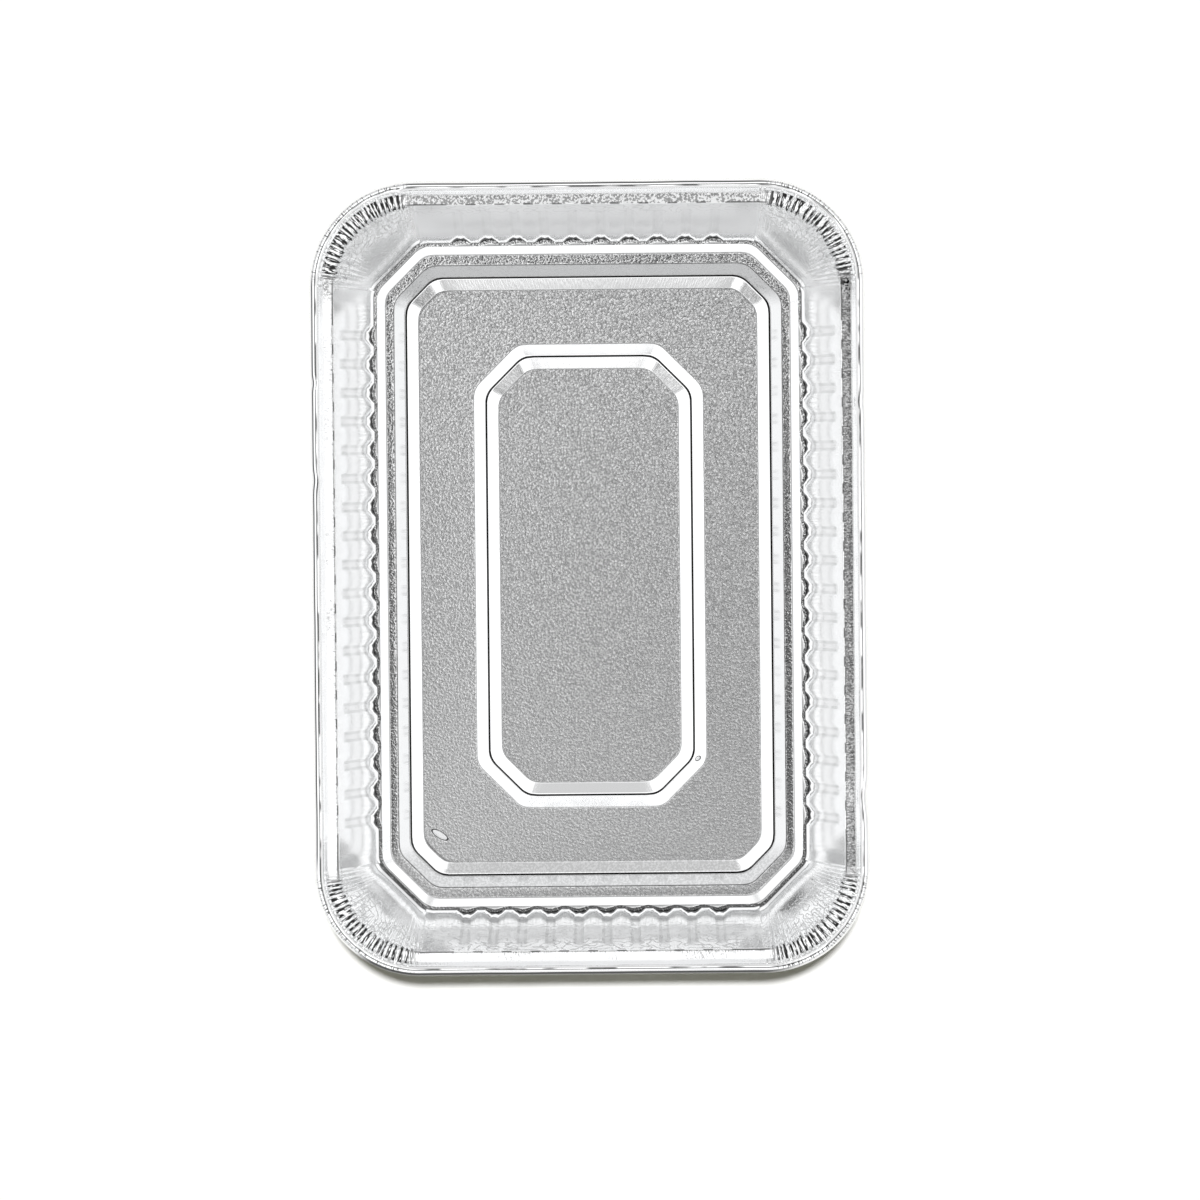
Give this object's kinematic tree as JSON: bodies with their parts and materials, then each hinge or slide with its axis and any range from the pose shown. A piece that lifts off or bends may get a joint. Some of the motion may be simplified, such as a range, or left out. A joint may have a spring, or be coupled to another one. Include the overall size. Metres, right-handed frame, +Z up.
{
  "type": "foil food container",
  "caption": "Oblong food tray pressed from one sheet of foil, with fluted sloping walls, gathered round corners, a rolled rim and a beaded flat base.",
  "frame": {"origin": "on the ground, under the middle of the base", "axes": "+Z up out of the mouth, +Y along the long side, +X along the short side"},
  "size_m": [0.1504, 0.215, 0.045],
  "materials": {
    "foil": "bright rolled foil, finely grained on the flats of the base"
  },
  "bodies": {
    "root": {"container": "foil"}
  },
  "joints": []
}
